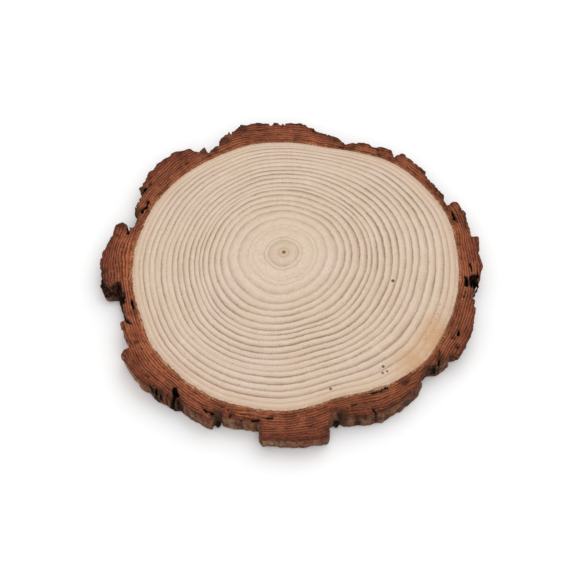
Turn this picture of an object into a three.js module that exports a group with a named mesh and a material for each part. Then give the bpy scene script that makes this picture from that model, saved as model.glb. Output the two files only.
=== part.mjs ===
// A thin slice sawn across a young pine trunk, lying flat on its sawn face: the disc of wood, and the
// ring of thick scaly bark that grew round it. Millimetres, +Z up.
//
// Both outlines are polar, about the pith: a bearing in degrees, counter-clockwise from +X, and a
// radius. The pith is off the middle, because the trunk grew faster on its front and right sides.
// The finished slice stands with the middle of its outline's box on the origin.

import * as THREE from 'three';

// ---- driving dimensions ----

const THICKNESS = 6.5; // between the two sawn faces
const CAMBIUM_GAP = 0.3; // dry split between the wood and the bark
const WOOD_STEPS = 180; // straight steps round the rim of the wood
const BARK_LAYERS = 4; // steps down the broken side of the bark

// ---- the rim of the wood: [bearing, radius], a smooth closed curve through these points ----

const WOOD_RIM = [
  [0, 54.9], [15, 54.0], [30, 51.8], [40, 50.4], [47, 48.9], [55, 46.6], [62, 44.9], [70, 43.3],
  [80, 42.9], [90, 43.0], [105, 43.4], [120, 43.2], [135, 44.0], [150, 45.0], [165, 45.9],
  [180, 47.4], [190, 48.4], [200, 49.4], [210, 50.9], [220, 53.0], [230, 54.5], [240, 55.8],
  [250, 56.9], [262, 57.0], [270, 57.1], [278, 56.2], [286, 55.0], [293, 55.6], [300, 57.2],
  [308, 58.0], [318, 58.8], [326, 57.8], [336, 57.0], [346, 56.2],
];

// ---- the bark's plates, counter-clockwise ----
// edge is the broken outline at the upper sawn face: corners joined by straight breaks. A bearing may
// step back where a plate overhangs the notch beside it. lean is the share of the plate's thickness
// that is missing at its foot: above 0 the plate's side is undercut, below 0 the foot stands out.

const BARK_PLATES = {
  right: {
    lean: 0.2,
    edge: [
      [-14.5, 60.1], [-13, 60.9], [-12, 61.8], [-8, 61.9], [-4.5, 62.5], [0, 61.2], [5.2, 61.6],
      [5.7, 59.9], [10, 59.4], [15, 59.8], [16.8, 58.8], [18.5, 58.8], [19.3, 57.9], [18.9, 55.2],
    ],
  },
  rightShelf: {
    lean: 0.25,
    edge: [
      [21.5, 54.8], [23.4, 55.6], [30, 54.6], [33.5, 54.2], [34.8, 55.0], [44.5, 54.2],
      [45.2, 53.2], [45.1, 51.5], [46.1, 50.9],
    ],
  },
  firstScale: {
    lean: 0.25,
    edge: [[47.5, 51.8], [49, 52.4], [52.5, 51.5], [54.5, 50.0], [55.3, 49.4]],
  },
  secondScale: {
    lean: 0.25,
    edge: [[56.7, 49.9], [61.5, 48.5], [62.7, 47.7], [64.1, 46.2], [65.2, 46.0]],
  },
  back: {
    lean: 0.25,
    edge: [
      [66.5, 46.8], [69, 47.5], [78.2, 48.1], [79.4, 49.6], [84.5, 50.6], [93, 50.5], [102, 51.8],
      [103.6, 51.2], [105.5, 51.8], [107.5, 51.0], [109, 49.9], [111.5, 50.5], [114, 49.1],
      [115.4, 48.3], [115.6, 46.7], [120.5, 46.4], [122.0, 45.7],
    ],
  },
  backLeft: {
    lean: 0.25,
    edge: [
      [122.9, 45.9], [122.6, 48.7], [125.2, 48.0], [127, 48.8], [127.6, 51.0], [132.5, 52.8],
      [139, 53.4], [140.5, 53.7], [142.7, 52.9], [144.5, 53.5], [147.5, 52.6], [152, 52.6],
      [153.2, 51.0], [155, 50.4], [160, 50.6], [162.2, 50.0], [163.2, 48.5], [168, 48.5],
    ],
  },
  left: {
    lean: 0.1,
    edge: [
      [169.4, 49.4], [168.3, 51.0], [167.6, 52.8], [169, 54.5], [173, 54.7], [180, 56.9],
      [184, 57.9], [188, 57.6], [191, 58.5], [194.4, 58.1], [195.3, 55.4], [195.0, 52.8],
      [198, 52.0],
    ],
  },
  leftStep: {
    lean: 0.18,
    edge: [
      [200.8, 53.5], [204, 54.6], [206.7, 55.0], [206.8, 56.7], [212, 57.4], [215.3, 57.9],
      [216.5, 59.0],
    ],
  },
  frontLeft: {
    lean: 0.12,
    edge: [[216, 60.7], [217.0, 61.8], [220.5, 62.8], [224, 63.1], [228, 63.5]],
  },
  frontLeftRibs: {
    lean: 0,
    edge: [
      [231, 62.8], [233, 63.1], [234.5, 62.3], [236.8, 62.7], [238.5, 62.3], [239.7, 61.6],
      [243.5, 62.3], [247, 62.9], [249.6, 63.3], [249.8, 60.1],
    ],
  },
  frontShelf: {
    lean: -0.08,
    edge: [[252.4, 59.8], [253.0, 60.8], [257, 60.7], [261.5, 60.3], [263.6, 60.4]],
  },
  frontBlock: {
    lean: 0.1,
    edge: [[264.2, 65.5], [265, 66.2], [275, 66.6], [281, 66.5], [281.9, 63.6], [283.2, 60.8]],
  },
  frontNotch: {
    lean: -0.6,
    edge: [[283.9, 58.2], [286.4, 58.3]],
  },
  frontRight: {
    lean: -0.07,
    edge: [
      [287.3, 60.7], [290, 61.6], [294.3, 63.2], [295.7, 63.0], [297, 63.7], [303, 63.6],
      [306, 63.3], [310.2, 62.6], [311.9, 61.7], [312.8, 60.6], [315.6, 60.1],
    ],
  },
  rightFlake: {
    lean: 0.05,
    edge: [[317.2, 60.5], [318.6, 62.3], [320.3, 63.0], [322.8, 63.1]],
  },
  rightFront: {
    lean: 0.4,
    edge: [
      [323.9, 62.8], [325.0, 65.6], [329, 65.3], [332, 64.8], [335, 64.4], [338, 63.5],
      [341.2, 62.9], [341.4, 62.0], [343.4, 61.7], [343.0, 60.6],
    ],
  },
};

// ---- outlines ----

const polar = ([bearing, radius]) => {
  const angle = THREE.MathUtils.degToRad(bearing);
  return new THREE.Vector2(radius * Math.cos(angle), radius * Math.sin(angle));
};

// The smooth closed curve through the rim's points, as points spread evenly along it.
function woodOutline() {
  const corners = WOOD_RIM.map(polar).map((p) => new THREE.Vector3(p.x, p.y, 0));
  const curve = new THREE.CatmullRomCurve3(corners, true, 'centripetal');
  const points = curve.getSpacedPoints(WOOD_STEPS);
  points.pop(); // the last point repeats the first
  return points.map((p) => new THREE.Vector2(p.x, p.y));
}

// The same outline moved outwards, each point along the normal of its neighbours' chord.
function movedOut(outline, distance) {
  return outline.map((point, i) => {
    const before = outline[(i + outline.length - 1) % outline.length];
    const after = outline[(i + 1) % outline.length];
    const along = after.clone().sub(before).normalize();
    return new THREE.Vector2(point.x + along.y * distance, point.y - along.x * distance);
  });
}

// Distance from the pith to an outline at one angle, between the outline's two nearest points.
function radiusAt(outline, angle) {
  const turn = 2 * Math.PI;
  const wrap = (a) => ((a % turn) + turn) % turn;
  for (let i = 0; i < outline.length; i++) {
    const from = outline[i];
    const to = outline[(i + 1) % outline.length];
    const share = wrap(angle - from.angle()) / wrap(to.angle() - from.angle());
    if (share <= 1) return THREE.MathUtils.lerp(from.length(), to.length(), share);
  }
  return outline[0].length();
}

// The broken edge at one depth below the upper face, 0 at that face and 1 at the floor: every corner
// drawn in towards the cambium by its plate's lean, slowly at first and faster near the foot.
function barkOutline(cambium, depth) {
  return Object.values(BARK_PLATES).flatMap(({ lean, edge }) =>
    edge.map(polar).map((corner) => {
      const inner = radiusAt(cambium, corner.angle());
      const own = corner.length() - inner;
      return corner.setLength(inner + own * (1 - lean * depth * depth));
    }),
  );
}

// ---- solids ----

// A closed ring between an upright inner wall and an outer wall given as one outline per level.
function ringGeometry(inner, outerLevels, heights) {
  const vertices = [];
  const faces = [];
  const addLoop = (loop, z) => {
    const first = vertices.length / 3;
    loop.forEach((p) => vertices.push(p.x, p.y, z));
    return first;
  };
  const addWall = (lower, upper, count) => {
    for (let i = 0; i < count; i++) {
      const next = (i + 1) % count;
      faces.push(lower + i, lower + next, upper + next, lower + i, upper + next, upper + i);
    }
  };
  const top = heights.length - 1;
  const outside = outerLevels.map((loop, level) => addLoop(loop, heights[level]));
  const hole = inner.slice().reverse();
  const insideFoot = addLoop(hole, heights[0]);
  const insideTop = addLoop(hole, heights[top]);

  for (let level = 0; level < top; level++) {
    addWall(outside[level], outside[level + 1], outerLevels[level].length);
  }
  addWall(insideFoot, insideTop, hole.length);

  const addCap = (level, insideFirst, facesUp) => {
    const outer = outerLevels[level];
    const place = (i) => (i < outer.length ? outside[level] + i : insideFirst + i - outer.length);
    for (const [a, b, c] of THREE.ShapeUtils.triangulateShape(outer, [hole])) {
      faces.push(place(a), ...(facesUp ? [place(b), place(c)] : [place(c), place(b)]));
    }
  };
  addCap(0, insideFoot, false);
  addCap(top, insideTop, true);

  const geometry = new THREE.BufferGeometry();
  geometry.setAttribute('position', new THREE.Float32BufferAttribute(vertices, 3));
  geometry.setIndex(faces);
  geometry.computeVertexNormals();
  return geometry;
}

function namedMesh(name, geometry, color, roughness) {
  const material = new THREE.MeshStandardMaterial({ color, roughness, metalness: 0 });
  const mesh = new THREE.Mesh(geometry, material);
  mesh.name = name;
  return mesh;
}

function woodDisc(rim) {
  const settings = { depth: THICKNESS, bevelEnabled: false };
  const geometry = new THREE.ExtrudeGeometry(new THREE.Shape(rim), settings);
  return namedMesh('wood', geometry, new THREE.Color(0.66, 0.52, 0.4), 0.75);
}

function barkRing(rim) {
  const cambium = movedOut(rim, CAMBIUM_GAP);
  const shares = Array.from({ length: BARK_LAYERS + 1 }, (_, i) => i / BARK_LAYERS);
  const heights = shares.map((share) => share * THICKNESS);
  const outlines = shares.map((share) => barkOutline(cambium, 1 - share));
  const geometry = ringGeometry(cambium, outlines, heights);
  return namedMesh('bark', geometry, new THREE.Color(0.22, 0.075, 0.035), 0.9);
}

// ---- the slice ----

const slice = new THREE.Group();
const rim = woodOutline();
slice.add(woodDisc(rim), barkRing(rim));

const box = new THREE.Box3().setFromObject(slice);
const middle = box.getCenter(new THREE.Vector3());
slice.position.set(-middle.x, -middle.y, 0);

export default slice;
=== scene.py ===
"""A thin slice sawn across a young pine trunk: a pale disc of wood inside a ring of scaly bark.

The wood is a polar mesh whose rows are growth rings. The bark is carved as a signed distance on a
voxel grid, between the outlines of its CAD node, and then meshed. All shapes are worked out in
millimetres, with the pith on the vertical axis and the floor at zero, and moved to the frame last.
Bearings are in degrees, counter-clockwise from +X, about the pith.
"""

import math

import bpy
import numpy as np
import openvdb
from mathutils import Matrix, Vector


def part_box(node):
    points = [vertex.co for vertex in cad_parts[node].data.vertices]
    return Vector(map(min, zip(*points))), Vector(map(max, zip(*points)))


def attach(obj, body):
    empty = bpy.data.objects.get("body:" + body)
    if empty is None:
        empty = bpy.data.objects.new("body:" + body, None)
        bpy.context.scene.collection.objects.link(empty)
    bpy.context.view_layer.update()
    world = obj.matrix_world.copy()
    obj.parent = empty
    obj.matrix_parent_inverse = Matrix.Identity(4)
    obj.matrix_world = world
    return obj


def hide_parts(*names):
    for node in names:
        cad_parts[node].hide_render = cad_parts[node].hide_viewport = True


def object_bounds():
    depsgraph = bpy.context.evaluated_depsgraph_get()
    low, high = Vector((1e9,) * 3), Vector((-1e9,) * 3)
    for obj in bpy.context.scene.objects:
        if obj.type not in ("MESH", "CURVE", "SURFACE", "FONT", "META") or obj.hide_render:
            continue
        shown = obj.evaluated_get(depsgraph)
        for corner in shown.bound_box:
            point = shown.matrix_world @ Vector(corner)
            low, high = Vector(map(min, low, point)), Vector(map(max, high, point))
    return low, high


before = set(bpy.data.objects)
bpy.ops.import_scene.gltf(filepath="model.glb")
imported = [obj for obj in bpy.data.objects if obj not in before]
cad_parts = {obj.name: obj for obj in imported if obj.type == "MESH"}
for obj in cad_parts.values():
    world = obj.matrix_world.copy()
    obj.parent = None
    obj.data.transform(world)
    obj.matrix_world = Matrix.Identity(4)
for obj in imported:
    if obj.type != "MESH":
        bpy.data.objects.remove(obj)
cad_low, cad_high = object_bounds()

MM = 0.001
SEED = 11

# ---- the slice's own frame ----

PITH_SHARE = (0.4643, 0.5706)  # where the pith lies across and along the box of the wood

wood_low, wood_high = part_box("wood")
THICKNESS = (wood_high.z - wood_low.z) / MM
PITH = np.array([
    wood_low.x + PITH_SHARE[0] * (wood_high.x - wood_low.x),
    wood_low.y + PITH_SHARE[1] * (wood_high.y - wood_low.y),
    wood_low.z,
])


def to_frame(points):
    """Points in millimetres about the pith, as metres in the row frame."""
    return np.asarray(points, float) * MM + PITH


def smooth_step(low, high, value):
    share = np.clip((value - low) / (high - low), 0.0, 1.0)
    return share * share * (3.0 - 2.0 * share)


def turned(bearing, centre):
    """How far a bearing lies from a centre, in degrees, the short way round."""
    return (bearing - centre + 180.0) % 360.0 - 180.0


def polar(bearing, radius):
    angle = np.radians(bearing)
    return np.stack([radius * np.cos(angle), radius * np.sin(angle)], -1)


def bearing_of(x, y):
    return np.degrees(np.arctan2(y, x)) % 360.0


# ---- noise ----


def noise(a, b, c, seed, period=61):
    """Smooth noise from -1 to 1. It repeats after `period` units of a, and 61 units of b and c."""
    size = (period, 61, 61)
    table = np.random.default_rng(seed).uniform(-1.0, 1.0, size).astype(np.float32)
    cells, shares = [], []
    for value, count in zip((a, b, c), size):
        low = np.floor(value)
        part = (value - low).astype(np.float32)
        part = part * part * (3.0 - 2.0 * part)
        first = low.astype(np.int32) % count
        cells.append((first, (first + 1) % count))
        shares.append((1.0 - part, part))
    total = 0.0
    for i in (0, 1):
        for j in (0, 1):
            for k in (0, 1):
                corner = table[cells[0][i], cells[1][j], cells[2][k]]
                total = total + corner * shares[0][i] * shares[1][j] * shares[2][k]
    return total


# ---- outlines of the CAD nodes ----


def outer_outline(node, height):
    """The widest closed loop that a node's upright faces make at one height, in millimetres."""
    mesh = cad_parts[node].data
    links = {}
    for face in mesh.polygons:
        if abs(face.normal.z) > 0.9:
            continue
        corners = [mesh.vertices[i].co for i in face.vertices]
        for start, end in zip(corners, corners[1:] + corners[:1]):
            if max(abs(start.z - height), abs(end.z - height)) < 1e-5:
                one, two = ((round(p.x, 7), round(p.y, 7)) for p in (start, end))
                links.setdefault(one, set()).add(two)
                links.setdefault(two, set()).add(one)
    loops = []
    while links:
        first = min(links)
        loop, current = [first], first
        while current in links:
            ahead = [p for p in links.pop(current) if p in links]
            if not ahead:
                break
            current = min(ahead)
            loop.append(current)
        loops.append((np.array(loop) - PITH[:2]) / MM)
    return max(loops, key=lambda loop: np.ptp(loop[:, 0]))


wood_outline = outer_outline("wood", wood_high.z)


def outline_radius(loop, bearing):
    """Distance of a closed outline from the pith, at a bearing."""
    bearings = bearing_of(*loop.T)
    order = np.argsort(bearings)
    return np.interp(bearing, bearings[order], np.hypot(*loop[order].T), period=360.0)


def rim_radius(bearing):
    """Radius of the wood's rim."""
    return outline_radius(wood_outline, bearing)


# ---- growth rings ----
# A point's growth is the radius that its ring has at bearing 0, and its age is its ring's number.

RING_LINES = [  # growth at each dark line, and how dark it is on the right and on the left
    (4.8, 0.40, 0.40), (5.8, 0.40, 0.40), (9.5, 0.20, 0.14), (10.6, 0.28, 0.20),
    (13.5, 0.44, 0.40), (16.9, 0.62, 0.50), (19.4, 0.80, 0.65), (21.5, 0.92, 0.72),
    (24.0, 0.88, 0.82), (26.3, 0.92, 0.85), (27.8, 1.05, 0.75), (29.6, 1.05, 0.78),
    (31.8, 1.10, 0.85), (34.2, 1.12, 0.82), (36.4, 1.02, 0.86), (38.6, 1.00, 0.72),
    (40.8, 0.92, 0.46), (42.9, 0.88, 0.76), (45.6, 0.92, 0.72), (47.9, 0.95, 0.70),
    (50.4, 0.95, 0.84), (52.2, 0.62, 0.48), (54.0, 0.50, 0.35),
]
RIM_DARKNESS = 0.15
# How strongly the lines show: every 30 degrees.
LINE_STRENGTHS = [1.0, 1.0, 1.06, 1.14, 1.06, 1.05, 1.10, 1.12, 1.10, 1.15, 0.92, 0.90]
# The shapes of four rings, by their growth: a radius every 15 degrees. The rest lie between them.
RING_SHAPES = {
    13.5: [
        13.5, 13.5, 13.5, 13.3, 12.9, 13.0, 13.1, 12.9, 13.0, 13.1, 13.5, 13.7,
        14.4, 14.8, 14.9, 15.0, 15.5, 15.9, 15.6, 14.7, 14.3, 13.9, 13.6, 13.5,
    ],
    21.5: [
        21.5, 21.3, 21.0, 20.5, 19.8, 19.8, 19.9, 20.2, 20.5, 20.5, 20.7, 20.9,
        21.6, 22.5, 23.5, 24.4, 24.8, 24.4, 23.8, 22.9, 22.4, 21.9, 21.5, 21.6,
    ],
    31.8: [
        31.8, 31.5, 30.7, 29.5, 29.2, 29.0, 28.7, 28.7, 28.1, 28.1, 28.2, 28.7,
        29.7, 30.8, 32.3, 34.5, 35.6, 35.7, 34.6, 33.2, 33.9, 33.6, 32.7, 32.4,
    ],
    42.9: [
        42.9, 42.6, 41.4, 39.7, 37.8, 36.7, 36.4, 36.4, 35.8, 36.0, 36.3, 36.7,
        38.3, 39.8, 41.6, 44.0, 45.3, 45.7, 45.4, 43.9, 43.9, 44.2, 43.7, 42.9,
    ],
}
RIM_GROWTH = float(rim_radius(0.0))
RING_KNOTS = [0.0, *(line[0] for line in RING_LINES), RIM_GROWTH]


def around(values, bearing):
    """Smooth closed curve through values that are evenly spaced in bearing."""
    values = np.asarray(values)
    place = np.asarray(bearing) / 360.0 * len(values)
    low = np.floor(place).astype(int)
    t = place - low
    before, start, end, after = (values[(low + k) % len(values)] for k in (-1, 0, 1, 2))
    slope_in, slope_out = (end - before) / 2.0, (after - start) / 2.0
    return (
        start * (2 * t**3 - 3 * t**2 + 1)
        + end * (3 * t**2 - 2 * t**3)
        + slope_in * (t**3 - 2 * t**2 + t)
        + slope_out * (t**3 - t**2)
    )


def ring_radius(growth, bearing):
    """Distance of a ring from the pith, at a bearing."""
    knots = [0.0, *RING_SHAPES, RIM_GROWTH]
    radii = [0.0, *(around(shape, bearing) for shape in RING_SHAPES.values()), rim_radius(bearing)]
    radius = np.zeros(np.broadcast(growth, bearing).shape)
    for k in range(len(knots) - 1):
        share = np.clip((growth - knots[k]) / (knots[k + 1] - knots[k]), 0.0, 1.0)
        radius = radius + share * (radii[k + 1] - radii[k])
    return radius


# ---- mesh helpers ----


def make_piece(name, points, faces, node):
    """A smooth mesh from points in millimetres, standing in the frame in place of a CAD node."""
    mesh = bpy.data.meshes.new(name)
    mesh.from_pydata(to_frame(points).tolist(), [], [list(map(int, f)) for f in faces])
    mesh.validate()
    mesh.shade_smooth()
    piece = bpy.data.objects.new(name, mesh)
    bpy.context.scene.collection.objects.link(piece)
    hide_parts(node)
    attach(piece, "root")
    return piece


def give_numbers(piece, name, values):
    """Stores one number, or one triple, on every vertex."""
    values = np.asarray(values, np.float32)
    if values.ndim == 2:
        layer = piece.data.attributes.new(name, "FLOAT_VECTOR", "POINT")
        layer.data.foreach_set("vector", values.ravel())
    else:
        layer = piece.data.attributes.new(name, "FLOAT", "POINT")
        layer.data.foreach_set("value", values)


# ---- maps to bake the surfaces through ----

END_MARGIN = 0.012  # free share of the map at both ends of a row
ROW_MARGIN = 0.03  # free share of a row above and below what it holds
# Where the sawn faces of the wood lie on the map: middle, on both of its axes, and radius.
UPPER_DISC = (0.385, 0.375)
UNDER_DISC = (0.79, 0.195)
STRIP_DEPTH = 13.5  # the bark from under the wood's rim to its outermost point


class Corners:
    """The corners of a piece's faces: their places, and their faces' middles and normals."""

    def __init__(self, piece, points):
        mesh = piece.data
        vertex = np.empty(len(mesh.loops), np.int32)
        mesh.loops.foreach_get("vertex_index", vertex)
        count = np.empty(len(mesh.polygons), np.int32)
        mesh.polygons.foreach_get("loop_total", count)
        normals = np.empty(len(mesh.polygons) * 3, np.float32)
        mesh.polygons.foreach_get("normal", normals)
        self.piece = piece
        self.vertex = vertex
        self.face = np.repeat(np.arange(len(count)), count)
        self.count = count
        self.slope = normals.reshape(-1, 3)[self.face, 2]
        self.at = points[vertex]
        self.middle = self.of_face(self.at)

    def of_face(self, values):
        """The mean of the values round each corner's face."""
        values = values.reshape(len(values), -1)
        sums = np.stack([np.bincount(self.face, column) for column in values.T], -1)
        return (sums / self.count[:, None])[self.face]

    def store(self, places):
        layer = self.piece.data.uv_layers.new(name="OFBake")
        layer.uv.foreach_set("vector", places.astype(np.float32).ravel())


def strip(here, middle, length, across, rows, low, high):
    """Lays a closed band out in rows, one above the other, between two heights of the map."""
    middle = middle % length
    ahead = (here - middle + length / 2.0) % length - length / 2.0
    row = np.minimum(np.floor(middle / length * rows), rows - 1)
    u = (middle + ahead) / length * rows - row
    v = (row + ROW_MARGIN + (1.0 - 2.0 * ROW_MARGIN) * np.clip(across, 0.0, 1.0)) / rows
    return np.stack([END_MARGIN + (1.0 - 2.0 * END_MARGIN) * u, low + (high - low) * v], -1)


# ---- the wood ----

WOOD_COLUMNS = 360
TOP_ROW = 0.33  # spacing of the rows of the upper face
UNDERSIDE_ROW = 0.85
RIM_INSET = 0.15  # how far inside the rim of the CAD node the wood's fibres end
SPLIT = (300.0, 3.2, 0.55)  # bearing, half width and depth of the dry split at the cambium
# The resin stain and the flecks: bearing, where they start and are full, and the same in growth.
STAIN = (321.0, (17.0, 6.0), 53.0, (6.5, 1.5))
FLECKS = (333.0, (14.0, 8.0), 51.5, (2.2, 0.8))
LATEWOOD_RELIEF = 0.035  # how far the dark lines stand up between the softer wood
RIM_ROUNDING = 0.12  # how far from each sawn face the upright part of the rim starts


def ring_rows(spacing):
    """Growth of each row: rows lie on the dark lines, and are closer together just inside them."""
    rows = []
    for start, end in zip(RING_KNOTS, RING_KNOTS[1:]):
        count = max(1, math.ceil((end - start) / spacing))
        share = 1.0 - (1.0 - np.arange(count) / count) ** 1.2
        rows.extend(start + share * (end - start))
    return np.array(rows[1:] + [RIM_GROWTH])


def ring_age(growth):
    return np.interp(growth, RING_KNOTS, np.arange(len(RING_KNOTS)))


def ring_darkness(growth, bearing):
    """How dark the dark line is that a point's ring ends in."""
    growths, right, left = np.array(RING_LINES + [(RIM_GROWTH, RIM_DARKNESS, RIM_DARKNESS)]).T
    ring = np.minimum(np.searchsorted(growths, growth - 1e-6), len(growths) - 1)
    leftness = smooth_step(135.0, 95.0, np.abs(turned(bearing, 165.0)))
    darkness = right[ring] + (left[ring] - right[ring]) * leftness
    return darkness * around(LINE_STRENGTHS, bearing)


def torn_share(bearing):
    """How torn the wood's rim is: most at the front left, where the saw left the wood."""
    return 0.15 + 0.85 * smooth_step(80.0, 30.0, np.abs(turned(bearing, 215.0)))


def ragged_rim(bearing):
    """How far the torn fibres stand out from the rim."""
    angle = np.asarray(bearing) / 360.0
    ragged = noise(angle * 120, 0.3, 0.2, SEED, 120) + 0.8 * noise(angle * 360, 0.3, 0.2, 2, 360)
    split = SPLIT[2] * smooth_step(SPLIT[1], SPLIT[1] * 0.3, np.abs(turned(bearing, SPLIT[0])))
    return 0.36 * torn_share(bearing) * ragged - RIM_INSET - split


def near_place(bearing, growth, place):
    """How near a point lies to a place on the wood, from 0 to 1."""
    centre, (far, near), middle, (wide, narrow) = place
    share = smooth_step(far, near, np.abs(turned(bearing, centre)))
    return share * smooth_step(wide, narrow, np.abs(growth - middle))


def ring_wobble(growth, bearing):
    """Small waves that neighbouring rings share."""
    angle = np.asarray(bearing) / 360.0
    slow = noise(angle * 24, growth / 6.0, 0.5, 3, 24)
    quick = noise(angle * 90, growth / 2.5, 0.5, 4, 90)
    fade = smooth_step(2.0, 14.0, growth) * smooth_step(RIM_GROWTH, RIM_GROWTH - 4.0, growth)
    return (0.07 * slow + 0.06 * quick) * fade


def wood_face(rows, height, sign):
    """Points of one sawn face, row by row from the pith outwards, with their growth."""
    bearings = np.arange(WOOD_COLUMNS) * 360.0 / WOOD_COLUMNS
    growth, bearing = np.meshgrid(rows, bearings, indexing="ij")
    radius = ring_radius(growth, bearing) + ring_wobble(growth, bearing)
    radius += ragged_rim(bearing) * smooth_step(RIM_GROWTH - 1.2, RIM_GROWTH, growth)
    phase = ring_age(growth) % 1.0
    latewood = smooth_step(0.55, 0.95, phase) * ring_darkness(growth, bearing)
    relief = LATEWOOD_RELIEF * (latewood - 1.0)
    x, y = polar(bearing, radius).transpose(2, 0, 1)
    points = np.stack([x, y, height + sign * relief], -1).reshape(-1, 3)
    return points, growth.ravel(), bearing.ravel()


def grid_faces(rows, columns):
    """Quads of a grid whose rows close on themselves."""
    row, column = np.meshgrid(np.arange(rows - 1), np.arange(columns), indexing="ij")
    here = row * columns + column
    beside = row * columns + (column + 1) % columns
    return np.stack([here, here + columns, beside + columns, beside], -1).reshape(-1, 4)


def map_wood(piece, points):
    """The upper face as a large disc, the underside as a small one, and the hidden rim as a strip."""
    corners = Corners(piece, points)
    middle = (wood_outline.max(0) + wood_outline.min(0)) / 2.0
    half = np.ptp(wood_outline, axis=0).max() / 2.0 + 0.6
    plan = (corners.at[:, :2] - middle) / half
    upper = corners.middle[:, 2] > THICKNESS / 2.0
    upper_places = UPPER_DISC[0] + UPPER_DISC[1] * plan
    under_places = UNDER_DISC[0] + UNDER_DISC[1] * plan
    places = np.where(upper[:, None], upper_places, under_places)
    rim = np.abs(corners.slope) < 0.5
    here = bearing_of(*corners.at[:, :2].T)
    middles = bearing_of(*corners.middle[:, :2].T)
    around_rim = strip(here, middles, 360.0, corners.at[:, 2] / THICKNESS, 1, 0.8, 0.95)
    around_rim[:, 0] *= 0.5
    corners.store(np.where(rim[:, None], around_rim, places))


def make_wood():
    count = WOOD_COLUMNS
    top_rows, under_rows = ring_rows(TOP_ROW), ring_rows(UNDERSIDE_ROW)
    top, top_growth, top_bearing = wood_face(top_rows, THICKNESS, 1.0)
    under, under_growth, under_bearing = wood_face(under_rows[::-1], 0.0, -1.0)
    levels = [THICKNESS - RIM_ROUNDING, THICKNESS * 0.6, THICKNESS * 0.3, RIM_ROUNDING]
    rim = np.tile(top[-count:, :2], (len(levels), 1))
    wall = np.column_stack([rim, np.repeat(levels, count)])
    centres = [[0.0, 0.0, THICKNESS - LATEWOOD_RELIEF], [0.0, 0.0, LATEWOOD_RELIEF]]
    points = np.concatenate([top, wall, under, centres])
    growth = np.concatenate([top_growth, np.full(len(wall), RIM_GROWTH), under_growth, [0, 0]])
    wall_bearing = np.tile(top_bearing[:count], len(levels))
    bearing = np.concatenate([top_bearing, wall_bearing, under_bearing, [0, 0]])
    rows = len(top_rows) + len(levels) + len(under_rows)
    faces = grid_faces(rows, count).tolist()
    last_row = (rows - 1) * count
    for i in range(count):
        beside = (i + 1) % count
        faces.append([len(points) - 2, i, beside])
        faces.append([len(points) - 1, last_row + beside, last_row + i])
    piece = make_piece("wood_disc", points, faces, "wood")
    across = polar(bearing, np.minimum(growth / 6.0, 1.0))
    give_numbers(piece, "age", ring_age(growth))
    give_numbers(piece, "darkness", ring_darkness(growth, bearing))
    give_numbers(piece, "growth", growth)
    give_numbers(piece, "ring_place", np.column_stack([across, growth]))
    give_numbers(piece, "torn", torn_share(bearing))
    give_numbers(piece, "stain", near_place(bearing, growth, STAIN))
    give_numbers(piece, "flecked", near_place(bearing, growth, FLECKS))
    map_wood(piece, points)
    return piece


# ---- the bark ----

VOXEL = 0.345  # spacing of the grid in plan
STOREY = 0.46  # and in height
MARGIN = 2.2  # how far round the surface the distance is worked out
BARK_DROP = 0.07  # the bark's sawn faces lie this much inside the wood's
UNDER_WOOD = 0.9  # how far the bark runs in under the wood's torn rim
LAYER = 0.86  # pitch of the bark's layers
GROOVE_PITCH = 2.6 * LAYER
EDGE_ROUNDING = 0.4  # how softly the sawn faces turn into the sides
SMALL_CRACKS = 90  # how many, all round
NICKS = 110
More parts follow.
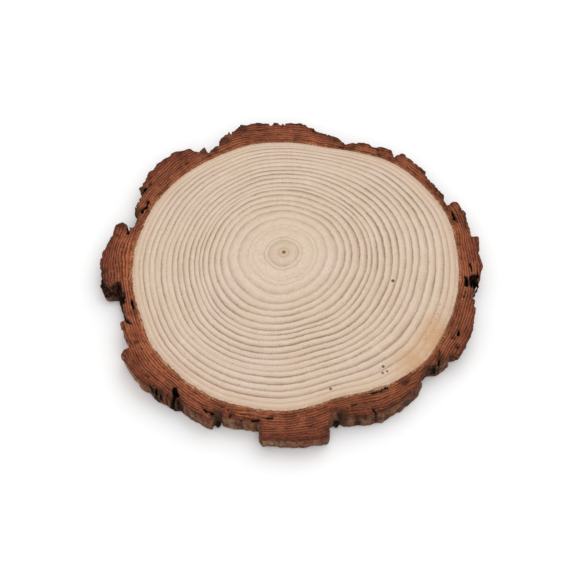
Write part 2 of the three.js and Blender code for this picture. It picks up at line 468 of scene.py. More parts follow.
# Torn voids and cracks: corners as (bearing, radius), half width, height of the floor.
CUTS = [
    ([(151.0, 51.0), (153.0, 50.9)], 0.35, 3.4),
    ([(156.0, 47.9), (158.2, 47.5), (161.0, 48.3)], 0.42, 0.8),
    ([(167.6, 50.6), (170.0, 50.5), (171.6, 50.2)], 0.45, 2.5),
    ([(189.5, 58.9), (193.4, 57.6), (194.4, 55.8), (193.6, 54.2)], 1.1, 4.3),
    ([(195.4, 58.0), (196.2, 55.0)], 1.6, 3.2),
    ([(192.6, 53.1), (196.0, 53.3), (200.0, 53.4)], 0.7, 2.6),
    ([(196.4, 52.2), (198.6, 52.5)], 0.4, 1.5),
    ([(200.2, 50.7), (203.8, 51.0)], 0.35, 2.0),
    ([(203.0, 54.9), (206.0, 54.7)], 0.5, 4.4),
    ([(206.6, 54.6), (208.6, 54.2)], 0.55, 1.2),
    ([(229.4, 62.8), (231.2, 63.2), (232.0, 65.4)], 0.18, 3.4),
    ([(231.4, 61.9), (232.4, 63.2), (233.8, 65.4)], 0.3, 1.4),
    ([(233.6, 62.9), (234.4, 63.6), (234.6, 65.4)], 0.22, 2.6),
    ([(235.2, 61.2), (235.9, 62.6), (236.0, 65.4)], 0.2, 2.0),
    ([(236.2, 59.4), (237.0, 60.4), (237.8, 60.9)], 0.85, 0.6),
    ([(237.0, 60.8), (237.8, 62.0), (238.0, 65.4)], 0.55, 1.0),
    ([(239.0, 62.0), (240.8, 63.2), (240.6, 65.4)], 0.36, 1.6),
    ([(246.0, 60.7), (248.0, 61.6), (249.8, 61.3)], 0.26, 2.2),
    ([(253.4, 58.9), (254.4, 58.9)], 0.3, 4.2),
    ([(261.2, 60.6), (263.2, 60.5)], 0.4, 4.4),
    ([(263.8, 59.7), (266.6, 59.4)], 0.3, 5.0),
    ([(295.4, 62.0), (295.7, 63.8)], 0.2, 1.5),
    ([(297.4, 57.35), (300.0, 57.75), (302.6, 57.95)], 0.36, 1.5),
    ([(315.0, 61.4), (318.4, 61.8)], 0.4, 1.8),
    ([(318.8, 62.6), (321.0, 61.2), (323.2, 59.6)], 0.26, 2.2),
    ([(330.4, 61.7), (332.2, 61.0)], 0.26, 2.2),
    ([(348.0, 61.5), (349.6, 60.8), (351.6, 60.1)], 0.9, 1.2),
    ([(347.6, 60.1), (351.4, 59.1)], 0.35, 1.6),
    ([(351.6, 60.1), (353.8, 59.4), (356.0, 58.8)], 0.3, 2.4),
    ([(347.8, 58.6), (350.8, 57.8)], 0.45, 2.8),
    ([(351.2, 61.6), (353.4, 61.3)], 0.25, 3.2),
    ([(13.4, 55.9), (16.6, 56.2)], 0.4, 2.4),
    ([(21.6, 55.9), (27.5, 55.8)], 0.2, 5.2),
]
RIGHT_THROUGH = -1.0  # a floor below the underside
# Strips cut off the outline, which leave no dark walls: corners, half width, height of the floor.
TRIMS = [
    ([(283.3, 61.6), (283.0, 64.2), (282.3, 68.4)], 0.75, RIGHT_THROUGH),
    ([(262.9, 62.7), (263.3, 66.3)], 0.5, RIGHT_THROUGH),
    ([(345.7, 61.8), (346.0, 64.5)], 0.85, RIGHT_THROUGH),
]
# Broken bark that is left standing in the notches: corners, half width, height of the top.
# Like the insides of the cuts, the stumps are painted dark as shade.
STUMPS = [
    ([(251.1, 60.4), (251.4, 62.4)], 0.9, 1.3),
    ([(284.9, 58.6), (285.1, 61.0)], 1.1, 1.5),
    ([(196.0, 53.2), (201.0, 53.4)], 0.9, 2.8),
    ([(198.4, 55.2), (198.8, 58.0)], 0.7, 5.6),
]
# Dark places on the sawn bark, partly stains, partly painted shade: bearing, radius, reach.
DARK_STAINS_AND_SHADE = [
    (23.5, 55.2, 1.3), (26.5, 55.0, 1.0), (35.0, 54.9, 0.9), (50.8, 48.9, 1.0), (61.0, 46.6, 1.1),
    (69.0, 46.9, 0.9), (106.0, 50.2, 1.8), (113.6, 47.8, 1.7), (119.5, 45.9, 1.1),
    (123.8, 46.9, 1.1), (152.0, 51.2, 1.3), (161.6, 49.5, 1.5), (169.0, 53.4, 1.2),
    (187.0, 56.8, 1.1), (190.5, 57.9, 1.5), (197.0, 54.8, 1.6), (196.8, 57.4, 2.0),
    (216.0, 56.0, 0.9), (287.2, 60.4, 2.0), (233.0, 62.9, 1.6), (238.4, 62.2, 2.3),
    (250.9, 61.4, 2.3), (255.0, 60.0, 1.1), (262.6, 60.6, 1.0), (290.8, 62.8, 0.8),
    (307.8, 59.9, 1.1), (321.0, 61.4, 1.6), (327.0, 63.2, 1.0), (349.6, 60.2, 2.2),
    (13.0, 59.7, 1.1),
]
# Every 30 degrees: how bright the bark is, and how far its sides stand out from the CAD outline.
TONES = [1.14, 1.0, 1.02, 1.06, 1.04, 1.10, 1.20, 1.20, 1.14, 1.13, 0.90, 0.98]
SPREADS = [0.50, 0.60, 0.80, 0.75, 0.50, 0.40, 0.35, 0.25, 0.80, 0.85, 0.70, 0.30]


# The outlines of the CAD node, at each of its heights.
bark_levels = sorted({round(v.co.z, 6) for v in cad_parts["bark"].data.vertices})
bark_loops = [outer_outline("bark", height) for height in bark_levels]
bark_heights = (np.array(bark_levels) - PITH[2]) / MM


def to_segment(x, y, start, end):
    """Where on a segment the nearest place to each point is, 0 to 1, and its squared distance."""
    (ax, ay), (bx, by) = start, end
    dx, dy = bx - ax, by - ay
    share = np.clip(((x - ax) * dx + (y - ay) * dy) / (dx * dx + dy * dy), 0.0, 1.0)
    return share, (x - ax - share * dx) ** 2 + (y - ay - share * dy) ** 2


def outline_distance(x, y, loop):
    """Signed distance from points to a closed outline, below zero inside it."""
    nearest = np.full(x.shape, np.inf, np.float32)
    inside = np.zeros(x.shape, bool)
    for start, end in zip(loop, np.roll(loop, -1, 0)):
        nearest = np.minimum(nearest, to_segment(x, y, start, end)[1])
        (ax, ay), (bx, by) = start, end
        if ay != by:
            crossing = (ay > y) != (by > y)
            inside ^= crossing & (x < ax + (y - ay) / (by - ay) * (bx - ax))
    return np.where(inside, -1.0, 1.0) * np.sqrt(nearest)


def path_distance(x, y, corners):
    """Distance from points to an open path."""
    nearest = np.full(x.shape, np.inf)
    for start, end in zip(corners, corners[1:]):
        nearest = np.minimum(nearest, to_segment(x, y, start, end)[1])
    return np.sqrt(nearest)


def along_outline(x, y, loop):
    """How far along a closed outline the nearest place on it is, and the outline's length."""
    ends = np.roll(loop, -1, 0)
    lengths = np.hypot(*(ends - loop).T)
    nearest = np.full(x.shape, np.inf)
    along = np.zeros(x.shape)
    for start, end, length, total in zip(loop, ends, lengths, np.cumsum(lengths)):
        share, away = to_segment(x, y, start, end)
        along = np.where(away < nearest, total - (1.0 - share) * length, along)
        nearest = np.minimum(nearest, away)
    return along, lengths.sum()


def smooth_max(a, b, radius):
    """The larger of two distances, with the edge between them rounded."""
    near = np.maximum(radius - np.abs(a - b), 0.0) / radius
    return np.maximum(a, b) + near * near * radius / 4.0


def small_cracks():
    """Short cracks along the layers, and nicks in the broken edge, all round the bark."""
    rng = np.random.default_rng(SEED)
    edge = outline_radius(bark_loops[-1], np.arange(360))
    cracks = []
    for _ in range(SMALL_CRACKS):
        bearing = rng.uniform(0, 360)
        inner = float(rim_radius(bearing))
        room = edge[int(bearing)] - inner
        radius = inner + room * rng.uniform(0.3, 0.95)
        span = rng.uniform(0.8, 3.4)
        tilt = rng.uniform(-0.3, 0.3)
        floor = THICKNESS - rng.uniform(0.4, 1.3)
        cracks.append(([(bearing, radius), (bearing + span, radius + tilt)], 0.14, floor))
    for _ in range(NICKS):
        bearing = rng.uniform(0, 360)
        out = edge[int(bearing)] + 2.4  # beyond any spread of the sides
        slant = rng.uniform(-1.2, 1.2)
        depth = rng.uniform(1.9, 2.8)
        floor = rng.uniform(-2.0, THICKNESS - 0.4)
        cracks.append(([(bearing, out - depth), (bearing + slant, out)], 0.2, floor))
    return cracks


def bark_grid():
    """The grid's axes in plan, its heights, and the x and y of its columns."""
    low = np.minimum.reduce([loop.min(0) for loop in bark_loops]) - MARGIN
    high = np.maximum.reduce([loop.max(0) for loop in bark_loops]) + MARGIN
    axes = [np.arange(low[i], high[i], VOXEL) for i in (0, 1)]
    heights = np.arange(-3 * STOREY, THICKNESS + 3 * STOREY, STOREY)
    x, y = np.meshgrid(*axes, indexing="ij")
    return axes, heights, x, y


def plan_of(x, y):
    """The bearing of each point, and its depth in the bark, counted outwards from the wood."""
    bearing = bearing_of(x, y)
    return bearing, np.hypot(x, y) - rim_radius(bearing)


def layer_waves(bearing, depth):
    """Depth in the bark with the layers' wander added, so that they are not quite parallel."""
    angle = bearing / 360.0
    slow = noise(angle * 40, depth / 5.0, 0.5, 21, 40)
    quick = noise(angle * 160, depth / 2.0, 0.5, 22, 160)
    return depth + 0.9 * slow + 0.25 * quick


def saw_relief(x, y, bearing, depth):
    """How far below its plane the bark's sawn face lies."""
    angle = bearing / 360.0
    layers = layer_waves(bearing, depth) / GROOVE_PITCH
    groove = smooth_step(0.35, 0.0, np.abs(layers % 1.0 - 0.5))
    groove = groove * smooth_step(-0.2, 0.5, noise(angle * 90, layers, 0.5, 23, 90))
    chips = smooth_step(0.25, 0.8, noise(x / 1.6, y / 1.6, 0.5, 24)) * smooth_step(0.5, 3.0, depth)
    grain = noise(angle * 300, depth / 0.7, 0.5, 25, 300)
    return 0.28 * groove + 0.35 * chips + 0.07 * (grain + 1.0)


def side_roughness(x, y, z, bearing, depth):
    """How far the broken sides are eroded back; on the bark it also sets the painted crevice shade.
    """
    angle = bearing / 360.0
    layers = layer_waves(bearing, depth)
    lumps = noise(x / 3.3, y / 3.3, z / 4.0, 31)
    scales = np.abs(noise(x / 1.7, y / 1.7, z / 2.2, 32))
    grit = noise(x / 0.8, y / 0.8, z / 0.8, 33)
    strata = noise(angle * 40, layers / LAYER, z / 6.0, 34, 40)
    ribs = noise(x / 0.95, y / 0.95, z / 9.0, 35)
    return 0.24 * lumps + 0.5 * (scales - 0.35) + 0.14 * grit + 0.16 * strata + 0.16 * ribs


def crack_window(field, axes, heights, corners, half_width):
    """The part of the field round a path, with the distance from the path, torn by noise."""
    corners = polar(*np.array(corners).T)
    reach = half_width + 1.5
    spans = []
    for axis, values in zip(axes, corners.T):
        first = np.searchsorted(axis, values.min() - reach)
        spans.append(slice(first, np.searchsorted(axis, values.max() + reach)))
    x, y, z = np.meshgrid(axes[0][spans[0]], axes[1][spans[1]], heights, indexing="ij")
    away = path_distance(x, y, corners) + 0.32 * noise(x / 0.9, y / 0.9, z / 1.4, 41)
    return field[spans[0], spans[1]], away + 0.05 * (THICKNESS - z), z


def bark_distance():
    """Signed distance to the carved bark at every point of the grid."""
    axes, heights, x, y = bark_grid()
    bearing, depth = plan_of(x, y)
    ring = (depth > -2.5) & (depth < 16.0)  # the columns that the bark can reach
    sides = []
    for loop in bark_loops:
        side = np.full(x.shape, MARGIN, np.float32)
        side[ring] = outline_distance(x[ring], y[ring], loop)
        sides.append(side)
    top = THICKNESS - BARK_DROP - saw_relief(x, y, bearing, depth)
    foot = BARK_DROP + 0.4 * saw_relief(x + 40.0, y, bearing, depth + 7.0)
    spread = around(SPREADS, bearing)
    field = np.empty((*x.shape, len(heights)), np.float32)
    for k, z in enumerate(heights):
        place = np.interp(z, bark_heights, np.arange(len(sides)))
        below = min(int(place), len(sides) - 2)
        side = sides[below] + (sides[below + 1] - sides[below]) * (place - below)
        near = np.abs(side) < MARGIN
        side[near] += side_roughness(x[near], y[near], z, bearing[near], depth[near])
        body = smooth_max(side - spread, np.maximum(z - top, foot - z), EDGE_ROUNDING)
        field[:, :, k] = np.maximum(body, -UNDER_WOOD - depth)
    for corners, half_width, height in STUMPS:
        window, away, z = crack_window(field, axes, heights, corners, half_width)
        stump = np.maximum(away - half_width, np.maximum(z - height - 0.4 * away, BARK_DROP - z))
        np.minimum(window, stump, out=window)
    for corners, half_width, floor in CUTS + TRIMS + small_cracks():
        window, away, z = crack_window(field, axes, heights, corners, half_width)
        np.maximum(window, np.minimum(half_width - away, z - floor), out=window)
    return field, axes, heights


def largest_shell(points, faces):
    """Leaves out crumbs and bubbles that are not part of the largest closed shell."""
    linked = [[] for _ in points]
    for face in faces.tolist():
        for one, two in zip(face, face[1:] + face[:1]):
            linked[one].append(two)
    shell = np.full(len(points), -1)
    sizes = []
    for start in range(len(points)):
        if shell[start] >= 0:
            continue
        shell[start] = len(sizes)
        waiting, size = [start], 0
        while waiting:
            size += 1
            for other in linked[waiting.pop()]:
                if shell[other] < 0:
                    shell[other] = len(sizes)
                    waiting.append(other)
        sizes.append(size)
    kept = shell == int(np.argmax(sizes))
    renumbered = np.cumsum(kept) - 1
    return points[kept], renumbered[faces[kept[faces[:, 0]]]]


def map_bark(piece, points, pit_shade, inset):
    """The sawn faces and the sides as strips. Walls inside cuts lie edge-on in the sawn face's."""
    corners = Corners(piece, points)
    x, y, z = corners.middle.T
    bearing, depth = plan_of(x, y)
    here, here_depth = plan_of(*corners.at[:, :2].T)
    across = (here_depth + UNDER_WOOD + 0.5) / STRIP_DEPTH
    height = corners.at[:, 2] / THICKNESS
    upright = np.abs(corners.slope) < 0.62
    open_side = corners.of_face(pit_shade[corners.vertex])[:, 0] < 0.35
    inset = corners.of_face(inset[corners.vertex])[:, 0]
    inner = upright & (depth < 0.0)
    outer = upright & ~inner & open_side & (inset < 1.6)
    under = ~inner & ~outer & (corners.slope < -0.3) & (z < 1.5)
    along, length = along_outline(*points[:, :2].T, bark_loops[-1])
    first = np.concatenate([[0], np.cumsum(corners.count)[:-1]])
    along_middle = along[corners.vertex][first][corners.face]
    places = strip(here, bearing, 360.0, across, 3, 0.0, 0.44)
    for chosen, other in (
        (under, strip(here, bearing, 360.0, across, 2, 0.445, 0.665)),
        (outer, strip(along[corners.vertex], along_middle, length, height, 4, 0.67, 0.945)),
        (inner, strip(here, bearing, 360.0, height, 1, 0.95, 1.0)),
    ):
        places = np.where(chosen[:, None], other, places)
    corners.store(places)


def pit_shade_share(x, y, z):
    """How deep in painted shade points lie: inside the cuts, and on the stumps."""
    pit_shade = np.zeros(len(x))
    for corners, half_width, floor in CUTS:
        away = path_distance(x, y, polar(*np.array(corners).T))
        inside = smooth_step(half_width + 0.5, half_width, away) * (z > floor - 0.35)
        pit_shade = np.maximum(pit_shade, inside * smooth_step(0.15, 1.2, THICKNESS - z))
    for corners, half_width, height in STUMPS:
        away = path_distance(x, y, polar(*np.array(corners).T))
        inside = smooth_step(half_width + 0.6, half_width, away) * (z < height + 0.5)
        pit_shade = np.maximum(pit_shade, 0.8 * inside)
    return pit_shade


def stain_and_shade_share(x, y):
    """How near points lie to the middle of a dark place, painted as stain and as shade."""
    stain_and_shade = np.zeros(len(x))
    for bearing, radius, reach in DARK_STAINS_AND_SHADE:
        middle_x, middle_y = polar(bearing, radius)
        away = np.hypot(x - middle_x, y - middle_y)
        stain_and_shade = np.maximum(stain_and_shade, smooth_step(reach * 1.5, reach * 0.3, away))
    return stain_and_shade


def upright_share(mesh):
    """From 0 on level ground to 1 on upright walls, for every vertex."""
    normals = np.empty(len(mesh.vertices) * 3, np.float32)
    mesh.vertex_normals.foreach_get("vector", normals)
    return smooth_step(0.8, 0.45, np.abs(normals.reshape(-1, 3)[:, 2]))


def make_bark():
    field, axes, heights = bark_distance()
    grid = openvdb.FloatGrid(MARGIN)
    grid.copyFromArray(np.clip(field, -MARGIN, MARGIN))
    points, faces = grid.convertToQuads(isovalue=0.0)
    points, faces = largest_shell(points, faces)
    points = points * [VOXEL, VOXEL, STOREY] + [axes[0][0], axes[1][0], heights[0]]
    piece = make_piece("bark_ring", points, faces, "bark")
    x, y, z = points.T
    bearing, depth = plan_of(x, y)
    pit_shade = pit_shade_share(x, y, z)
    inset = -outline_distance(x, y, bark_loops[-1])
    give_numbers(piece, "layer", layer_waves(bearing, depth))
    give_numbers(piece, "depth", depth)
    give_numbers(piece, "pit_shade", pit_shade)
    give_numbers(piece, "stain_and_shade", stain_and_shade_share(x, y))
    give_numbers(piece, "crevice_shade", side_roughness(x, y, z, bearing, depth))
    give_numbers(piece, "pale", smooth_step(13.0, 8.0, np.abs(turned(bearing, 216.0))))
    give_numbers(piece, "tone", around(TONES, bearing))
    give_numbers(piece, "inset", inset)
    give_numbers(piece, "broken", upright_share(piece.data))
    give_numbers(piece, "bark_place", np.column_stack([polar(bearing, 1.0), depth]))
    map_bark(piece, points, pit_shade, inset)
    return piece


# ---- materials ----


def srgb(red, green, blue):
    """A colour given as 0-255 display values, as a linear colour."""
    def linear(value):
        value = value / 255.0
        return value / 12.92 if value <= 0.04045 else ((value + 0.055) / 1.055) ** 2.4
    return (linear(red), linear(green), linear(blue), 1.0)


class Surface:
    """Builds one material's nodes. A value may be a number, a colour or another node's output."""

    def __init__(self, name):
        self.material = bpy.data.materials.new(name)
        self.material.use_nodes = True
        self.tree = self.material.node_tree
        self.shader = self.tree.nodes["Principled BSDF"]

    def put(self, socket, value):
        if isinstance(value, bpy.types.NodeSocket):
            self.tree.links.new(value, socket)
        else:
            socket.default_value = value

    def add(self, kind, values, **settings):
        """The outputs of a new node. The values go to its sockets, by name or number."""
        node = self.tree.nodes.new("ShaderNode" + kind)
        for setting, choice in settings.items():
            setattr(node, setting, choice)
        for socket, value in values.items():
            self.put(node.inputs[socket], value)
        return node.outputs

    def attribute(self, name, output="Fac"):
        return self.add("Attribute", {}, attribute_name=name)[output]

    def place(self):
        return self.add("TexCoord", {})["Object"]

    def math(self, operation, a, b=0.0, c=0.0):
        return self.add("Math", {0: a, 1: b, 2: c}, operation=operation)[0]

    def scaled(self, vector, x, y, z):
        return self.add("VectorMath", {0: vector, 1: (x, y, z)}, operation="MULTIPLY")[0]

    def distance(self, vector, point):
        return self.add("VectorMath", {0: vector, 1: point}, operation="DISTANCE")["Value"]

    def noise(self, vector, scale, detail=3.0, roughness=0.55, distortion=0.0):
        values = {"Vector": vector, "Scale": scale, "Detail": detail, "Roughness": roughness}
        return self.add("TexNoise", {**values, "Distortion": distortion})[0]

    def dots(self, vector, scale, output="Distance"):
        return self.add("TexVoronoi", {"Vector": vector, "Scale": scale})[output]

    def span(self, value, low, high, to_low=0.0, to_high=1.0):
        """Maps low..high to to_low..to_high, eased at both ends and held beyond them."""
        values = {"Value": value, "From Min": low, "From Max": high}
        values.update({"To Min": to_low, "To Max": to_high})
        return self.add("MapRange", values, interpolation_type="SMOOTHSTEP")["Result"]

    def ramp(self, value, stops):
        """A colour, or a grey, read off a ramp of (position, colour) stops."""
        node = self.tree.nodes.new("ShaderNodeValToRGB")
        self.put(node.inputs[0], value)
        elements = node.color_ramp.elements
        while len(elements) < len(stops):
            elements.new(0.5)
        for element, (position, colour) in zip(elements, stops):
            element.position = position
            element.color = colour if isinstance(colour, tuple) else (colour,) * 3 + (1.0,)
        return node.outputs["Color"]

    def mix(self, share, first, second, blend="MIX"):
        values = {"Factor": share, 6: first, 7: second}  # 6 and 7 are the colours A and B
        return self.add("Mix", values, data_type="RGBA", blend_type=blend)[2]

    def bump(self, height, distance, strength):
        values = {"Height": height, "Distance": distance, "Strength": strength}
        return self.add("Bump", values)[0]

    def finish(self, colour, roughness, normal, specular):
        values = {"Base Color": colour, "Roughness": roughness, "Normal": normal}
        for socket, value in {**values, "Specular IOR Level": specular}.items():
            self.put(self.shader.inputs[socket], value)
        return self.material


EARLYWOOD = srgb(212, 193, 175)
EARLYWOOD_YELLOW = srgb(209, 190, 167)
EARLYWOOD_PINK = srgb(207, 182, 165)
LATEWOOD = srgb(128, 97, 78)
# Small knots that the saw has cut across: bearing, radius, reach.
PIN_KNOTS = [
    (286.0, 51.4, 0.45), (304.4, 53.2, 0.40), (306.0, 53.5, 0.36), (306.0, 51.5, 0.45),
    (342.5, 35.8, 0.5),
]


def ringed_wood(s, place, ring_place):
    """The dark lines of the rings, on wood with warmer and pinker patches."""
    flutter = s.noise(s.scaled(ring_place, 16.0, 16.0, 0.9), 1.0, 5.0, 0.75)
    age = s.math("ADD", s.attribute("age"), s.math("MULTIPLY_ADD", flutter, 0.44, -0.22))
    phase = s.math("FRACT", age)
    band = s.ramp(phase, [
        (0.0, 1.0), (0.05, 0.6), (0.12, 0.08), (0.28, 0.0), (0.55, 0.12), (0.80, 0.5), (0.95, 1.0),
    ])
    uneven = s.noise(s.scaled(ring_place, 2.5, 2.5, 0.35), 1.0, 2.0)
    late = s.math("MULTIPLY", band, s.attribute("darkness"))
    late = s.math("MULTIPLY", late, s.span(uneven, 0.3, 0.7, 0.62, 1.1))
    patches = s.noise(place, 55.0, 3.0)
    early = s.mix(s.span(patches, 0.35, 0.6), EARLYWOOD, EARLYWOOD_YELLOW)
    blush = s.noise(s.scaled(ring_place, 1.6, 1.6, 0.55), 1.0, 3.0)
    early = s.mix(s.span(blush, 0.5, 0.68, 0.0, 0.75), early, EARLYWOOD_PINK)
    return s.mix(late, early, LATEWOOD), phase


def with_grain(s, colour, place, ring_place, streaks):
    """Streaks along the rings, fine speckle, and rays from the pith."""
    colour = s.mix(s.span(streaks, 0.35, 0.7, 0.0, 0.26), colour, srgb(165, 138, 118))
    speckle = s.noise(place, 2600.0, 3.0, 0.7)
    colour = s.mix(s.span(speckle, 0.35, 0.65, 0.0, 0.3), colour, srgb(172, 148, 128))
    rays = s.noise(s.scaled(ring_place, 60.0, 60.0, 0.12), 1.0, 2.0)
    return s.mix(s.span(rays, 0.5, 0.8, 0.0, 0.16), colour, srgb(226, 209, 190))


def with_resin_canals(s, colour, place, phase):
    """Small brown dots, most of them near the dark lines."""
    dots = s.span(s.dots(place, 900.0), 0.08, 0.22, 1.0, 0.0)
    chosen = s.span(s.dots(place, 900.0, "Color"), 0.41, 0.53)
    chosen = s.math("MULTIPLY", chosen, s.span(phase, 0.35, 0.8, 0.08, 0.72))
    return s.mix(s.math("MULTIPLY", dots, chosen), colour, srgb(112, 76, 56))


def with_pith(s, colour, growth):
    halo = s.ramp(s.math("DIVIDE", growth, 8.0), [
        (0.0, 0.2), (0.10, 0.1), (0.13, 0.4), (0.18, 0.95), (0.25, 0.45), (0.33, 0.12),
        (0.46, 0.12), (0.60, 0.0),
    ])
    colour = s.mix(halo, colour, srgb(176, 156, 126))
    return s.mix(s.span(growth, 0.35, 1.0, 1.0, 0.0), colour, srgb(134, 80, 60))


def with_stain_and_knots(s, colour, place, blotch):
    """The resin stain beside the bark, its flecks, and the pin knots."""
    stain = s.math("MULTIPLY", s.attribute("stain"), s.span(blotch, 0.25, 0.75, 0.4, 1.0))
    colour = s.mix(stain, colour, srgb(184, 140, 94))
    flecks = s.span(s.dots(place, 760.0), 0.12, 0.3, 0.75, 0.0)
    flecks = s.math("MULTIPLY", flecks, s.attribute("flecked"))
    colour = s.mix(flecks, colour, srgb(146, 112, 72))
    for bearing, radius, reach in PIN_KNOTS:
        x, y = polar(bearing, radius)
        away = s.distance(place, to_frame([x, y, THICKNESS]))
        knot = s.span(away, reach * 0.7 * MM, reach * 1.5 * MM, 0.95, 0.0)
        colour = s.mix(knot, colour, srgb(86, 54, 37))
    return colour


def with_rim(s, colour, ring_place, growth, blotch):
    """Tanned and bruised wood beside the rim, and bark showing between the torn fibres."""
    fuzz = s.noise(s.scaled(ring_place, 62.0, 62.0, 1.3), 1.0, 5.0, 0.68)
    tanned = s.span(growth, RIM_GROWTH - 7.0, RIM_GROWTH - 1.0, 0.0, 0.38)
    tanned = s.math("MULTIPLY", tanned, s.span(blotch, 0.3, 0.6, 0.5, 1.0))
    colour = s.mix(tanned, colour, srgb(186, 152, 124))
    bruised = s.span(growth, RIM_GROWTH - 1.6, RIM_GROWTH, 0.0, 0.55)
    bruised = s.math("MULTIPLY", bruised, s.span(fuzz, 0.35, 0.6))
    colour = s.mix(bruised, colour, srgb(150, 120, 96))
    tearing = s.math("MULTIPLY", s.attribute("torn"), 4.0)
    reach = s.math("MULTIPLY_ADD", tearing, s.math("SUBTRACT", fuzz, 0.5), growth)
    return s.mix(s.span(reach, RIM_GROWTH + 0.1, RIM_GROWTH + 0.35), colour, srgb(140, 84, 54))


def wood_material():
    s = Surface("pine_wood")
    place = s.place()
    ring_place = s.attribute("ring_place", "Vector")
    growth = s.attribute("growth")
    streaks = s.noise(s.scaled(ring_place, 6.0, 6.0, 3.2), 1.0, 4.0, 0.6)
    blotch = s.noise(place, 240.0, 4.0)
    colour, phase = ringed_wood(s, place, ring_place)
    colour = with_grain(s, colour, place, ring_place, streaks)
    colour = with_resin_canals(s, colour, place, phase)
    colour = with_pith(s, colour, growth)
    colour = with_stain_and_knots(s, colour, place, blotch)
    colour = with_rim(s, colour, ring_place, growth, blotch)
    pores = s.noise(place, 5200.0, 2.0)
    height = s.math("ADD", s.math("MULTIPLY", streaks, 0.6), s.math("MULTIPLY", pores, 0.5))
    normal = s.bump(height, 0.00006, 0.5)
    return s.finish(colour, s.span(streaks, 0.2, 0.8, 0.62, 0.78), normal, 0.3)


def layer_lines(s, bark_place, layer):
    """Thin dark lines between the bark's layers, fading in and out."""
    flutter = s.noise(s.scaled(bark_place, 60.0, 60.0, 0.8), 1.0, 3.0)
    phase = s.math("MULTIPLY_ADD", flutter, 0.7, s.math("DIVIDE", layer, LAYER))
    lines = s.ramp(s.math("FRACT", phase), [
        (0.0, 1.0), (0.20, 0.7), (0.40, 0.0), (0.64, 0.0), (0.84, 0.9), (1.0, 1.0),
    ])
    fading = s.noise(s.scaled(bark_place, 16.0, 16.0, 0.5), 1.0, 2.0)
    return s.math("MULTIPLY", lines, s.span(fading, 0.3, 0.6, 0.5, 1.0))


def sawn_bark(s, place, bark_place, layer, depth, lines, fibres, ragged):
    """The sawn face: red-brown layers, paler near the wood, dark at the edge and in the grooves,
    partly as painted shade.
    """
    sawn = s.ramp(s.math("DIVIDE", depth, 9.0), [
        (0.0, srgb(164, 98, 60)), (0.10, srgb(159, 93, 60)), (0.30, srgb(153, 87, 57)),
        (0.60, srgb(143, 79, 53)), (1.0, srgb(113, 58, 40)),
    ])
    patches = s.noise(place, 130.0, 4.0, 0.6)
    sawn = s.mix(s.span(patches, 0.38, 0.66, 0.0, 0.75), sawn, srgb(98, 48, 33))
    sawn = s.mix(s.span(fibres, 0.50, 0.75, 0.0, 0.6), sawn, srgb(172, 108, 72))
    sawn = s.mix(s.math("MULTIPLY", lines, 0.82), sawn, srgb(54, 23, 13))
    # Darker along the carved grooves: partly the bark's own dark layers, partly painted shade.
    grooves = s.math("FRACT", s.math("DIVIDE", layer, GROOVE_PITCH))
    grooves = s.ramp(grooves, [(0.34, 0.0), (0.46, 1.0), (0.54, 1.0), (0.66, 0.0)])
    broken_up = s.noise(s.scaled(bark_place, 30.0, 30.0, 0.7), 1.0, 3.0)
    grooves = s.math("MULTIPLY", grooves, s.span(broken_up, 0.4, 0.62, 0.0, 0.7))
    sawn = s.mix(grooves, sawn, srgb(50, 24, 16))
    flecks = s.noise(place, 1500.0, 3.0, 0.6)
    sawn = s.mix(s.span(flecks, 0.64, 0.74, 0.0, 0.5), sawn, srgb(184, 140, 108))
    sawn = s.mix(s.span(flecks, 0.42, 0.30, 0.0, 0.5), sawn, srgb(70, 34, 22))
    fringe = s.math("MULTIPLY_ADD", s.math("SUBTRACT", ragged, 0.5), 5.0, s.attribute("inset"))
    return s.mix(s.span(fringe, -0.5, 0.8, 0.6, 0.0), sawn, srgb(58, 30, 20))


def broken_bark(s, place, scales, seams):
    """The broken sides: weathered grey-brown scales with dark seams, and painted shade in the
    crevices.
    """
    # Deeper eroded places are darker: painted shade in the crevices.
    side = s.ramp(s.math("MULTIPLY_ADD", s.attribute("crevice_shade"), -0.38, scales), [
        (0.25, srgb(44, 25, 17)), (0.40, srgb(82, 52, 38)), (0.52, srgb(106, 73, 54)),
        (0.66, srgb(124, 92, 70)), (0.85, srgb(142, 114, 92)),
    ])
    hue = s.noise(place, 190.0, 2.0)
    side = s.mix(s.span(hue, 0.4, 0.62, 0.0, 0.6), side, srgb(112, 62, 44))
    side = s.mix(s.math("MULTIPLY", s.attribute("pale"), 0.5), side, srgb(160, 116, 90))
    return s.mix(s.math("MULTIPLY", seams, 0.6), side, srgb(38, 21, 14))


def with_dark_places(s, colour, place, ragged):
    """Dark stains and painted shade, the bark's tone from place to place, and painted shade in the
    cuts.
    """
    # Dark places: partly stains, partly painted shade.
    stain_and_shade = s.math("MULTIPLY", s.attribute("stain_and_shade"), s.span(ragged, 0.3, 0.55, 0.35, 0.85))
    colour = s.mix(stain_and_shade, colour, srgb(52, 32, 20))
    colour = s.mix(1.0, colour, s.attribute("tone", "Color"), "MULTIPLY")
    # Painted shade inside the cuts and on the stumps, broken up by noise.
    torn = s.span(s.noise(place, 900.0, 3.0, 0.6), 0.42, 0.66, 1.0, 0.55)
    return s.mix(s.math("MULTIPLY", s.attribute("pit_shade"), torn), colour, srgb(24, 13, 8))


def with_cambium(s, colour, bark_place, depth):
    """Pale fibres where the bark meets the wood, in patches."""
    hairs = s.noise(s.scaled(bark_place, 120.0, 120.0, 1.2), 1.0, 4.0, 0.65)
    border = s.math("MULTIPLY_ADD", s.math("SUBTRACT", hairs, 0.5), -4.5, depth)
    patchy = s.noise(s.scaled(bark_place, 9.0, 9.0, 0.1), 1.0, 3.0, 0.7)
    patchy = s.span(patchy, 0.42, 0.6, 0.1, 0.75)
    border = s.math("MULTIPLY", s.span(border, -0.25, 0.35, 1.0, 0.0), patchy)
    return s.mix(border, colour, srgb(190, 152, 118))


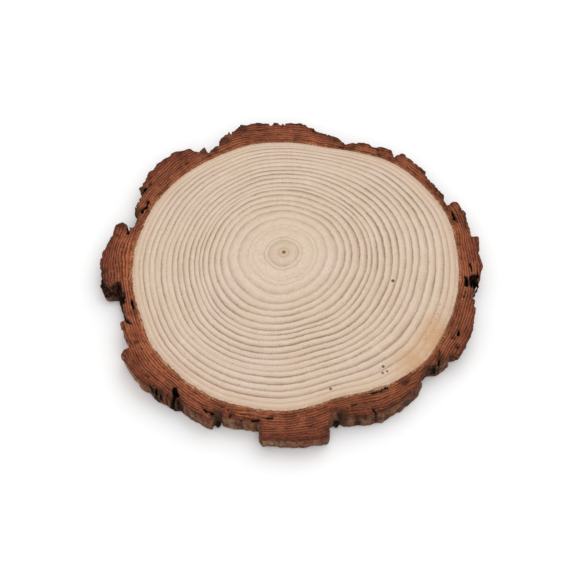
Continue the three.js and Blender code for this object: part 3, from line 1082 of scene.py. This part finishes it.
def bark_material():
    s = Surface("pine_bark")
    place = s.place()
    bark_place = s.attribute("bark_place", "Vector")
    layer = s.attribute("layer")
    depth = s.attribute("depth")
    broken = s.attribute("broken")
    lines = layer_lines(s, bark_place, layer)
    fibres = s.noise(s.scaled(bark_place, 130.0, 130.0, 4.2), 1.0, 4.0, 0.65)
    ragged = s.noise(place, 650.0, 4.0, 0.65)
    scales = s.noise(s.scaled(place, 1.0, 1.0, 0.55), 420.0, 4.0, 0.62)
    plates = s.noise(s.scaled(place, 1.0, 1.0, 0.5), 260.0, 3.0, 0.6, 0.6)
    seams = s.span(s.math("ABSOLUTE", s.math("SUBTRACT", plates, 0.5)), 0.0, 0.035, 1.0, 0.0)
    sawn = sawn_bark(s, place, bark_place, layer, depth, lines, fibres, ragged)
    colour = s.mix(broken, sawn, broken_bark(s, place, scales, seams))
    colour = with_dark_places(s, colour, place, ragged)
    colour = with_cambium(s, colour, bark_place, depth)
    grit = s.noise(place, 2600.0, 3.0, 0.6)
    height = s.math("MULTIPLY_ADD", lines, -0.8, s.math("MULTIPLY_ADD", fibres, 0.6, grit))
    scaly = s.math("MULTIPLY_ADD", seams, -0.8, s.math("MULTIPLY", scales, 3.0))
    height = s.math("MULTIPLY_ADD", scaly, broken, height)
    normal = s.bump(height, 0.00022, 0.8)
    return s.finish(colour, s.span(grit, 0.2, 0.8, 0.8, 0.96), normal, 0.12)


# ---- studio ----

FLOOR_HALF_SIDE = 4.0
FLOOR_GREY = 0.865
WORLD_STRENGTH = 0.9
CAMERA_ELEVATION = 58.0
CAMERA_DISTANCE = 0.6
CAMERA_LENS = 120.0
LOOK_AT = Vector((-0.0010, -0.0056, cad_high.z))


def make_floor():
    mesh = bpy.data.meshes.new("studio_floor")
    signs = [(-1, -1), (1, -1), (1, 1), (-1, 1)]
    corners = [(FLOOR_HALF_SIDE * x, FLOOR_HALF_SIDE * y, cad_low.z) for x, y in signs]
    mesh.from_pydata(corners, [], [(0, 1, 2, 3)])
    floor = bpy.data.objects.new("studio_floor", mesh)
    bpy.context.scene.collection.objects.link(floor)
    s = Surface("studio_floor")
    s.shader.inputs["Base Color"].default_value = (FLOOR_GREY, FLOOR_GREY, FLOOR_GREY, 1.0)
    s.shader.inputs["Roughness"].default_value = 0.9
    mesh.materials.append(s.material)


def make_light(name, place, side, power):
    """A square softbox that faces the origin."""
    light = bpy.data.lights.new(name, "AREA")
    light.shape = "SQUARE"
    light.size = side
    light.energy = power
    lamp = bpy.data.objects.new(name, light)
    lamp.location = place
    lamp.rotation_euler = (-Vector(place)).to_track_quat("-Z", "Y").to_euler()
    bpy.context.scene.collection.objects.link(lamp)


def make_studio():
    make_floor()
    world = bpy.data.worlds.new("studio_world")
    world.use_nodes = True
    background = world.node_tree.nodes["Background"]
    background.inputs["Color"].default_value = (1.0, 1.0, 1.0, 1.0)
    background.inputs["Strength"].default_value = WORLD_STRENGTH
    bpy.context.scene.world = world
    make_light("back_softbox", (0.45, 0.80, 1.00), 1.4, 7.6)
    make_light("front_softbox", (0.1, -0.9, 1.0), 0.9, 3.2)
    bpy.context.scene.view_settings.view_transform = "Standard"


def make_camera():
    camera = bpy.data.objects.new("camera", bpy.data.cameras.new("camera"))
    camera.data.lens = CAMERA_LENS
    tilt = math.radians(CAMERA_ELEVATION)
    back = Vector((0.0, -math.cos(tilt), math.sin(tilt)))
    camera.location = LOOK_AT + CAMERA_DISTANCE * back
    camera.rotation_euler = (-back).to_track_quat("-Z", "Y").to_euler()
    bpy.context.scene.collection.objects.link(camera)
    bpy.context.scene.camera = camera


make_camera()
make_studio()
make_wood().data.materials.append(wood_material())
make_bark().data.materials.append(bark_material())
